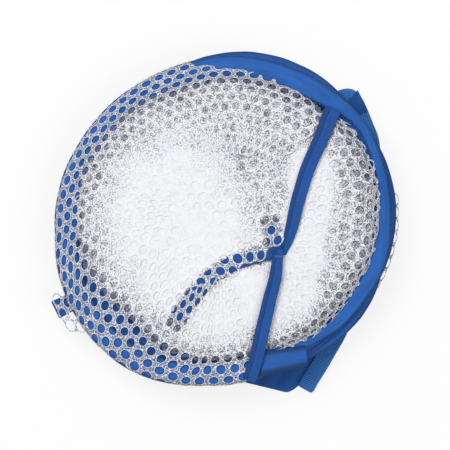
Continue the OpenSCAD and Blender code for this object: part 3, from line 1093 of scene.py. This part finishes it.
class BASKET_OT_front_net(bpy.types.Operator):
    """Stretches the front panel over the rim of the top lobe and bunches the rest of it"""

    bl_idname = "basket.front_net"
    bl_label = "Front net"

    def execute(self, context):
        net = context.scene.basket_net
        rim = TURNS["front_top"]
        bm = bmesh.new()
        mean = rim.radius

        def rim_place(x, y):
            degrees = WRAP_START + math.degrees(x * RIM_STRETCH / mean)
            gone = way_gone(y / MM, row_stretch(degrees)) - row_drift(degrees)
            lateral = 0.35 * max(0.0, gone - 6) * smooth((degrees - 188) / 20) * smooth((268 - degrees) / 15)
            p = (math.cos(math.radians(degrees)) * 0.1, math.sin(math.radians(degrees)) * 0.1 + gone * 0.002)
            degrees += math.degrees(lateral * MM / mean) + 0.55 * ripple(p, 0.02, 40)
            gone += 0.9 * ripple(p, 0.016, 42) * smooth(gone / 10)
            angle = math.radians(degrees)
            inset, height = path_table(RIM_INSETS, gone) * MM, path_table(RIM_HEIGHTS, gone) * MM
            if gone < 0:
                height += gone * MM
            loose = smooth((gone - 30) / 20)
            place = rim.at(angle, inset, 0)
            place.z = height + rim.lift(angle) + loose * (0.35 * MM * ripple(place, 0.012, 44) + over_tie(place))
            return place, degrees, gone

        def keep_rim(x, y, slack=0.0):
            place, degrees, gone = rim_place(x, y)
            reach = RIM_NET_REACH + 4 * ripple(place, 0.02, 46)
            return (max(-1, bare_rim(degrees)) - slack <= gone <= reach and WRAP_START + 2 <= degrees <= WRAP_END
                    and right_of_seam(place) < -2 * MM)

        arc = math.radians(WRAP_END - WRAP_START + 12) * mean / RIM_STRETCH
        cells = [(x, y) for x, y in net_cells(arc, 170 * MM, net.pitch) if keep_rim(x, y, 5)]
        net_patch(bm, cells, lambda x, y: rim_place(x, y)[0], context, 0.0, net.rim_wall, keep_rim)

        def over_rim_tie(x, y):
            angle = math.radians(RIM_TIE_START + math.degrees(x / mean))
            p = Vector((x, y, 0))
            inset = 0.75 * y - 7 * MM + 0.8 * MM * ripple(p, 0.01, 47)
            return rim.at(angle, inset, (-1.6 + 0.4 * ripple(p, 0.012, 48)) * MM - 0.12 * (7 * MM - min(7 * MM, y)))

        net_patch(bm, [(x + 4 * MM, y) for x, y in net_cells(26 * MM, 15 * MM, net.pitch)], over_rim_tie, context, 3.0,
                  net.wall)

        def middle(p):
            return rim.polar(p)[1] > 78 * MM and right_of_seam(p) < -4 * MM

        add_layer(bm, context, Layer((-3 * MM, 3 * MM), 126 * MM, 0.15 * MM, 7, (0.98, 0.98), 8.1, 0.3 * MM, True,
                                     4 * MM), middle, over_tie)
        add_layers(bm, context, (
            (-2, 3, 118, -0.6, 33, (0.85, 0.9), 9.4),
        ), 0.3 * MM, True, lambda p: inside_bunch(p) > 5 * MM and right_of_seam(p) < 0)
        add_layers(bm, context, (
            (-3, 4, 99, 27.6, 71, (0.9, 0.8), 10.6),
            (0, 3, 97, 26.6, 15, (0.9, 0.9), 12.2),
        ), net.crumple * 0.6)
        finish_net("front_panel_net", bm, context, TOP, "front_net")
        return {"FINISHED"}


def strand_gap(degrees):
    """How much further in the right net's edge lies where an inner strand shows beside the sleeve, in millimetres."""
    return path_table(((12, 0), (28, 4.0), (42, 4.5), (52, 1)), degrees)


# The right net's first angle, the angle it spans, its mean reach, and its share of the flat width.
RIGHT_START, RIGHT_SPAN, RIGHT_REACH, RIGHT_SQUEEZE = -72, 126, 112 * MM, 0.98


class BASKET_OT_right_net(bpy.types.Operator):
    """Gathers the right side panel between the seam and the rim"""

    bl_idname = "basket.right_net"
    bl_label = "Right side net"

    def execute(self, context):
        net = context.scene.basket_net
        rim = TURNS["front_top"]
        bm = bmesh.new()

        def gathered(x, y):
            degrees = RIGHT_START + math.degrees(x * RIGHT_SQUEEZE / RIGHT_REACH)
            relaxed = y / MM
            # close rows by the rim, relaxed ones further in
            gone = 0.30 * relaxed + 0.5 * max(0.0, relaxed - 10) ** 1.08 * smooth(relaxed / 40)
            angle = math.radians(degrees)
            p = (math.cos(angle) * 0.1, math.sin(angle) * 0.1 + gone * 0.002)
            angle += math.radians(1.1 * ripple(p, 0.018, 50))
            gone += 1.6 * ripple(p, 0.014, 52)
            place = rim.at(angle, rim.width(angle) + (gone - 1.0 + strand_gap(degrees)) * MM, 0)
            roll = math.sin(min(1.0, max(0.0, gone / 12)) * math.pi)
            place.z = heap(place) + (0.4 + 1.2 * roll) * MM + 0.5 * MM * ripple(place, 0.010, 54)
            return place, degrees, gone

        def keep(x, y, slack=0.0):
            place, degrees, gone = gathered(x, y)
            return gone >= -1 - slack and -66 <= degrees <= 50 and right_of_seam(place) > 4 * MM

        arc = math.radians(RIGHT_SPAN) * RIGHT_REACH / RIGHT_SQUEEZE
        cells = [(x, y) for x, y in net_cells(arc, 150 * MM, net.pitch) if keep(x, y, 2)]
        net_patch(bm, cells, lambda x, y: gathered(x, y)[0], context, 5.0, None, keep)

        def right_part(p):
            angle, inset = rim.polar(p)
            degrees = (math.degrees(angle) + 180) % 360 - 180
            return inset > rim.width(angle) + (1 + strand_gap(degrees)) * MM and right_of_seam(p) > -8 * MM

        felt_patch(bm, -0.15 * MM, 26.3, right_part)
        add_layers(bm, context, (
            (0, 3, 121, -0.5, 28, (0.9, 0.8), 20.1),
            (0, 3, 120, -1.2, 66, (0.8, 0.9), 21.5),
            (0, 3, 119, -2.0, 5, (0.9, 0.9), 22.3),
        ), 0.5 * MM, True, right_part)
        add_layers(bm, context, (
            (0, 3, 98, 26.0, 52, (0.8, 0.9), 24.0),
            (1, 4, 97, 24.2, 87, (0.9, 0.8), 25.7),
        ), net.crumple)
        finish_net("right_side_net", bm, context, TOP, "right_net")
        return {"FINISHED"}


class BASKET_OT_back_net(bpy.types.Operator):
    """Bunches the back panel inside the middle lobe, with its fringe at the rim"""

    bl_idname = "basket.back_net"
    bl_label = "Back net"

    def execute(self, context):
        net = context.scene.basket_net
        bm = bmesh.new()
        add_layers(bm, context, (
            (18, 2, 94, 11.2, 10, (0.9, 0.9), 30.2),
            (18, 2, 94, 12.8, 55, (0.85, 0.9), 31.4),
            (16, 1, 93, 14.4, 83, (0.9, 0.85), 32.7),
            (14, -2, 94, 16.0, 30, (0.9, 0.9), 33.9),
            (14, -2, 94, 17.4, 68, (0.9, 0.9), 34.6),
        ), 0.9 * MM)
        rim = TURNS["front_middle"]

        def fringe(x, y):
            angle = math.radians(-36 + math.degrees(x / rim.radius))
            p = (math.cos(angle) * 0.1, math.sin(angle) * 0.1 + y * 0.2)
            inset = y * 0.6 + 0.2 * MM + 0.9 * MM * ripple(p, 0.012, 60)
            return rim.at(angle, inset, -2.9 * MM + 0.3 * MM * ripple(p, 0.02, 61))

        cells = list(net_cells(math.radians(44) * rim.radius, 18 * MM, net.pitch))
        net_patch(bm, cells, fringe, context, 9.0)
        finish_net("back_panel_net", bm, context, MIDDLE, "back_net")
        return {"FINISHED"}


class BASKET_OT_base_net(bpy.types.Operator):
    """Bunches the base panel inside the lower lobe"""

    bl_idname = "basket.base_net"
    bl_label = "Base net"

    def execute(self, context):
        bm = bmesh.new()
        add_layers(bm, context, (
            (4, 17, 91, 2.4, 20, (0.9, 0.9), 35.2),
            (7, 20, 88, 5.0, 64, (0.9, 0.9), 36.4),
            (10, 22, 86, 7.4, 41, (0.9, 0.9), 37.8),
        ), 0.9 * MM)
        finish_net("base_panel_net", bm, context, LOWER, "base_net")
        return {"FINISHED"}


def strip(name, context, slot, path, widths, thickness, shape, body=None, replaces=(), steps=40, sides=10,
          end_cut=0.0):
    """A flat woven strip along a path. shape(t, v) gives its sideways and upward relief in metres."""
    bm = bmesh.new()
    bmesh.ops.create_grid(bm, x_segments=steps, y_segments=sides, size=0.5)
    length, middle_width = path_length(path), path_table(widths, 0.5)
    map_uv(bm, lambda co: ((co.x + 0.5) * length / CM, (co.y + 0.5) * middle_width / CM))
    for vert in bm.verts:
        t, v = vert.co.x + 0.5, vert.co.y * 2
        width = path_table(widths, t)
        slant = end_cut * v * smooth((t - 0.85) / 0.15) / length
        place, way = along_path(path, min(1.0, max(0.0, t + slant)))
        side = Vector((-way.y, way.x, 0)).normalized()
        lean, rise = shape(t, v)
        vert.co = place + side * (v * width / 2 + lean) + Vector((0, 0, rise))
    piece = finish_piece(name, bm, slot, context, body, replaces)
    thicken(piece, thickness)
    return piece, length


def tape_shape(seed):
    """A binding folded so that its left third lies a step lower than the rest."""
    def shape(t, v):
        fold = -0.8 * MM * smooth((-0.14 - v) / 0.18)
        crown = 0.55 * MM * (1 - abs(v) ** 2.5)
        wave = 0.35 * MM * ripple((t * 0.1, v * 0.004), 0.012, seed)
        return 0.4 * MM * ripple((t * 0.1, 0), 0.02, seed + 1), fold + crown + wave
    return shape


SEAM_STITCH_STEP = 2.6 * MM
SEAM_LINES = (0.13, -0.86)  # where the stitches run across a binding, -1 and 1 being its edges


class BASKET_OT_seam(bpy.types.Operator):
    """Lays the two lengths of seam binding, their stitches and the bartack"""

    bl_idname = "basket.seam"
    bl_label = "Seam binding"

    def execute(self, context):
        z1, z2 = mid_height("seam_tape_upper"), mid_height("seam_tape_lower")
        upper = [(0.0820, 0.0855, z1 - 1.6 * MM), (0.0795, 0.0800, z1 - 0.4 * MM), (0.0712, 0.0600, z1),
                 (0.0615, 0.0373, z1), (0.0553, 0.0165, z1), (0.0503, -0.0050, z1 - 0.3 * MM),
                 (0.0440, -0.0235, z1 - 2.2 * MM)]
        lower = [(0.0412, -0.0195, z2 - 0.5 * MM), (0.0383, -0.0403, z2), (0.0342, -0.0569, z2),
                 (0.0295, -0.0770, z2), (0.0253, -0.0969, z2 - 0.8 * MM), (0.0208, -0.1120, z2 - 2.4 * MM),
                 (0.0185, -0.1185, z2 - 5 * MM)]
        tapes = (
            ("upper_seam_binding", upper, ((0, 0.0125), (0.25, 0.0115), (0.75, 0.0102), (0.9, 0.0085), (1, 0.0050)),
             "seam_tape_upper", 70),
            ("lower_seam_binding", lower, ((0, 0.0072), (0.2, 0.0096), (0.6, 0.0108), (1, 0.0102)),
             "seam_tape_lower", 75),
        )
        stitches = bmesh.new()
        template = stitch_template()
        for name, path, widths, node, seed in tapes:
            shape = tape_shape(seed)
            piece, length = strip(name, context, "binding_tape", path, widths, 0.7 * MM, shape, TOP, [node], 60, 14)
            for i in range(int(length / SEAM_STITCH_STEP)):
                t = (i + 0.5) * SEAM_STITCH_STEP / length
                place, way = along_path(path, t)
                side = Vector((-way.y, way.x, 0)).normalized()
                for v in SEAM_LINES:
                    lean, rise = shape(t, v)
                    spot = place + side * (v * path_table(widths, t) / 2 + lean) + Vector((0, 0, rise + 0.45 * MM))
                    add_stitch(stitches, template, spot, way, Vector((0, 0, 1)), 1.7 * MM, 0.45 * MM, 0.35 * MM)
        bpy.data.meshes.remove(template)
        finish_piece("seam_stitches", stitches, "thread", context, TOP)
        refinish(context, ("tie_bartack",), "thread")
        return {"FINISHED"}


def soft_wave(seed):
    """A strip that lies flat but for a slight wave."""
    def shape(t, v):
        return 0.0, 0.35 * MM * ripple((t * 0.1, v * 0.006), 0.014, seed)
    return shape


class BASKET_OT_ties(bpy.types.Operator):
    """Lays the three ribbon ties"""

    bl_idname = "basket.ties"
    bl_label = "Ribbon ties"

    def execute(self, context):
        for name, route, widths, seed, node, steps, end_cut in (
            ("long_ribbon_tie", LONG_TIE, ((0, 0.0095), (0.2, RIBBON_WIDTH)), 81, "long_tie", 44, 4 * MM),
            ("tie_ribbon_tail", TIE_TAIL, ((0, 0.0095), (1, RIBBON_WIDTH)), 83, "tie_tail", 18, 2 * MM),
        ):
            path = [(x, y, heap((x, y)) + TIE_LIFT) for x, y in route]
            piece, length = strip(name, context, "ribbon", path, widths, 0.5 * MM, soft_wave(seed), TOP, [node],
                                  steps, 8, end_cut=end_cut)
        z = mid_height("rim_tie")
        rim_tie = [(-0.0960, -0.0500, z), (-0.1100, -0.0570, z), (-0.1270, -0.0655, z)]
        piece, length = strip("rim_ribbon_tie", context, "ribbon", rim_tie, ((0, RIBBON_WIDTH), (1, 0.0145)), 0.5 * MM,
                              soft_wave(85), TOP, ["rim_tie"], 20, 8)
        return {"FINISHED"}


def panel(name, context, slot, corners, steps, thickness, shape, body, replaces):
    """A cloth with four corners, its points moved up by shape(u, v)."""
    bm = bmesh.new()
    bmesh.ops.create_grid(bm, x_segments=steps, y_segments=steps, size=0.5)
    a, b, c, d = (Vector(p) for p in corners)

    def place(u, v):
        return (a * (1 - u) + b * u) * (1 - v) + (d * (1 - u) + c * u) * v

    across, along = (b - a).length / CM, (d - a).length / CM
    map_uv(bm, lambda co: ((co.x + 0.5) * across, (co.y + 0.5) * along))
    for vert in bm.verts:
        u, v = vert.co.x + 0.5, vert.co.y + 0.5
        vert.co = place(u, v) + shape(u, v)
    piece = finish_piece(name, bm, slot, context, body, replaces)
    thicken(piece, thickness)
    return piece


class BASKET_OT_hem(bpy.types.Operator):
    """Spreads the hem corner and lays the flat end of the sleeve"""

    bl_idname = "basket.hem"
    bl_label = "Hem corner and sleeve end"

    def execute(self, context):
        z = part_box("sleeve_end_patch")[1].z + 0.3 * MM
        corners = [(0.0265, -0.1150, z - 0.6 * MM), (0.0630, -0.1065, z), (0.0612, -0.0915, z), (0.0300, -0.0945, z)]

        def patch_shape(u, v):
            roll = -1.4 * MM * (smooth((v - 0.86) / 0.14) + smooth((0.10 - v) / 0.10))
            return Vector((0, 0, roll + 0.5 * MM * ripple((u * 0.03, v * 0.03), 0.012, 91)))

        piece = panel("sleeve_end_flap", context, "sleeve_fabric", corners, 24, 0.8 * MM, patch_shape, TOP,
                      ["sleeve_end_patch"])

        z = mid_height("hem_corner")
        corners = [(0.0130, -0.1200, z + 2 * MM), (0.0520, -0.1295, z), (0.0985, -0.0700, z),
                   (0.0600, -0.0700, z + 1 * MM)]

        def hem_shape(u, v):
            folds = 0.9 * MM * math.sin((u * 1.6 + v * 0.5) * math.pi * 2) * (1 - smooth((v - 0.7) / 0.3))
            tip = max(0.0, (u - v - 0.84) / 0.16) ** 2
            wave = 0.4 * MM * ripple((u * 0.06, v * 0.06), 0.014, 93)
            return Vector((-0.6 * MM * tip, 3 * MM * tip, abs(folds) + wave))

        piece = panel("hem_corner_cloth", context, "hem_fabric", corners, 40, 0.6 * MM, hem_shape, LOWER,
                      ["hem_corner"])
        return {"FINISHED"}


class BASKET_OT_straps(bpy.types.Operator):
    """Makes the two carrying straps of ribbed webbing"""

    bl_idname = "basket.straps"
    bl_label = "Carrying straps"

    def execute(self, context):
        z = mid_height("upper_strap")
        upper = [(0.0790, 0.0895, z), (0.0875, 0.0938, z), (0.0945, 0.0955, z + 0.4 * MM),
                 (0.0985, 0.0920, z + 0.7 * MM), (0.1025, 0.0840, z + 0.3 * MM), (0.1070, 0.0730, z),
                 (0.1108, 0.0630, z), (0.1115, 0.0530, z), (0.1070, 0.0450, z)]
        self.lay(context, "upper", upper, ((0, WEBBING_WIDTH), (1, WEBBING_WIDTH)), 95, "floor")
        top = z + 1.9 * MM
        corners = [(0.0935, 0.0925, top - 1 * MM), (0.1012, 0.1008, top - 0.6 * MM), (0.1092, 0.0848, top - 0.7 * MM),
                   (0.1000, 0.0805, top - 0.9 * MM)]
        # The folded face takes the darker ribbon finish, not the webbing's.
        fold = panel("upper_strap_fold", context, "ribbon", corners, 16, 0.8 * MM,
                     lambda u, v: Vector((0, 0, 0.9 * MM * math.sin(math.pi * v) ** 2)), None, [])
        self.bend(fold, "upper")
        z = mid_height("lower_strap")
        lower = [(0.0860, -0.0640, z), (0.0893, -0.0735, z), (0.0863, -0.0831, z), (0.0795, -0.0950, z),
                 (0.0727, -0.1069, z), (0.0660, -0.1175, z), (0.0612, -0.1262, z)]
        self.lay(context, "lower", lower, ((0, WEBBING_WIDTH), (0.965, WEBBING_WIDTH), (1, 0.0105)), 97, "hem_corner")
        refinish(context, ("upper_strap_stitches", "lower_strap_stitches"), "thread")
        return {"FINISHED"}

    def lay(self, context, side, path, widths, seed, rests_on):
        piece, length = strip(f"{side}_strap_webbing", context, "webbing", path, widths, 1.3 * MM, soft_wave(seed),
                              None, [f"{side}_strap", f"{side}_strap_ends"], 60, 8)
        self.bend(piece, side)

    def bend(self, piece, side):
        """Looks up the strap's hinge and bakes the piece's placing into its mesh."""
        hinge = next(joint for joint in frame["joints"] if joint["name"] == f"{side}_strap_hinge")
        place = Vector(hinge["pos_m"])
        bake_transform(piece)


FLOOR_REACH, FLOOR_DROP = 6, 0.3 * MM
KEY_PLACE, KEY_SIZE = (-0.9, 1.0, 1.9), 1.7
FILL_PLACE, FILL_SIZE, FILL_SHARE = (1.1, -0.7, 1.7), 1.6, 0.35
CAMERA_X, CAMERA_Y = 0.75 * MM, -1.5 * MM


class BASKET_OT_stage(bpy.types.Operator):
    """Sets out the floor, the lamps and the camera"""

    bl_idname = "basket.stage"
    bl_label = "Stage"

    def execute(self, context):
        stage = context.scene.basket_stage
        bm = bmesh.new()
        bmesh.ops.create_grid(bm, x_segments=8, y_segments=8, size=FLOOR_REACH)
        bmesh.ops.translate(bm, verts=bm.verts[:], vec=(0, 0, -FLOOR_DROP))
        mesh = bpy.data.meshes.new("floor")
        bm.to_mesh(mesh)
        bm.free()
        floor = bpy.data.objects.new("floor", mesh)
        context.scene.collection.objects.link(floor)
        mesh.materials.append(self.floor_material())
        self.lamp(context, "key", KEY_PLACE, KEY_SIZE, stage.key_power)
        self.lamp(context, "fill", FILL_PLACE, FILL_SIZE, stage.key_power * FILL_SHARE)
        self.world(context, stage)
        camera = bpy.data.cameras.new("camera")
        camera.lens = stage.lens
        camera.sensor_width = 36
        camera.clip_end = 50
        view = bpy.data.objects.new("camera", camera)
        view.location = (CAMERA_X, CAMERA_Y, stage.camera_height)
        context.scene.collection.objects.link(view)
        context.scene.camera = view
        context.scene.view_settings.view_transform = "Standard"
        return {"FINISHED"}

    def lamp(self, context, name, place, size, power):
        light = bpy.data.lights.new(name, "AREA")
        light.shape, light.size, light.energy = "DISK", size, power
        lamp = bpy.data.objects.new(name, light)
        lamp.location = place
        lamp.rotation_euler = (-Vector(place)).to_track_quat("-Z", "Y").to_euler()
        context.scene.collection.objects.link(lamp)

    def floor_material(self):
        shader = Shader("floor")
        grain = shader.cloud(shader.place(), 3.0, 2.0)
        shader.set("Base Color", shader.blend(grain, (0.86, 0.86, 0.86, 1), (0.88, 0.88, 0.88, 1)))
        shader.set("Roughness", 0.9)
        shader.set("Specular IOR Level", 0.1)
        glow = shader.node("ShaderNodeEmission", None, {"Color": (1, 1, 1, 1), "Strength": 1.0})
        mixed = shader.node("ShaderNodeMixShader", None, {0: shader.seen() * GLOW_SHARE})
        shader.links.new(shader.surface.outputs[0], mixed.inputs[1])
        shader.links.new(glow.outputs[0], mixed.inputs[2])
        shader.links.new(mixed.outputs[0], shader.nodes["Material Output"].inputs["Surface"])
        return shader.material

    def world(self, context, stage):
        world = bpy.data.worlds.new("surroundings")
        context.scene.world = world
        tree = Tree(world)
        background = tree.nodes["Background"]
        tree.feed(background.inputs["Strength"], tree.remap(tree.seen(), 0.0, 1.0, stage.ambient, 1.0))
        tree.feed(background.inputs["Color"], (1, 1, 1, 1))


class BASKET_PT_sidebar(bpy.types.Panel):
    """Lists the basket's settings and the steps that build it"""

    bl_idname = "BASKET_PT_sidebar"
    bl_label = "Folded mesh basket"
    bl_space_type = "VIEW_3D"
    bl_region_type = "UI"
    bl_category = "Basket"

    def draw(self, context):
        for group_name in GROUPS:
            group = getattr(context.scene, group_name)
            box = self.layout.box()
            for name in group.bl_rna.properties.keys():
                if name not in ("rna_type", "name"):
                    box.prop(group, name)
        for step in STEPS:
            self.layout.operator(step.bl_idname)


GROUPS = {
    "basket_hoops": HoopSettings,
    "basket_net": NetSettings,
    "basket_colours": ColourSettings,
    "basket_stage": StageSettings,
}
STEPS = (
    BASKET_OT_stage,
    BASKET_OT_sleeves,
    BASKET_OT_wires,
    BASKET_OT_base_net,
    BASKET_OT_back_net,
    BASKET_OT_left_net,
    BASKET_OT_front_net,
    BASKET_OT_right_net,
    BASKET_OT_seam,
    BASKET_OT_ties,
    BASKET_OT_hem,
    BASKET_OT_straps,
)


def register():
    for group in GROUPS.values():
        bpy.utils.register_class(group)
    for name, group in GROUPS.items():
        setattr(bpy.types.Scene, name, bpy.props.PointerProperty(type=group))
    for step in STEPS:
        bpy.utils.register_class(step)
    bpy.utils.register_class(BASKET_PT_sidebar)


def unregister():
    bpy.utils.unregister_class(BASKET_PT_sidebar)
    for step in reversed(STEPS):
        bpy.utils.unregister_class(step)
    for name, group in GROUPS.items():
        delattr(bpy.types.Scene, name)
        bpy.utils.unregister_class(group)


def main():
    register()
    for step in STEPS:
        getattr(bpy.ops.basket, step.bl_idname.split(".")[1])()


if __name__ == "__main__":
    main()
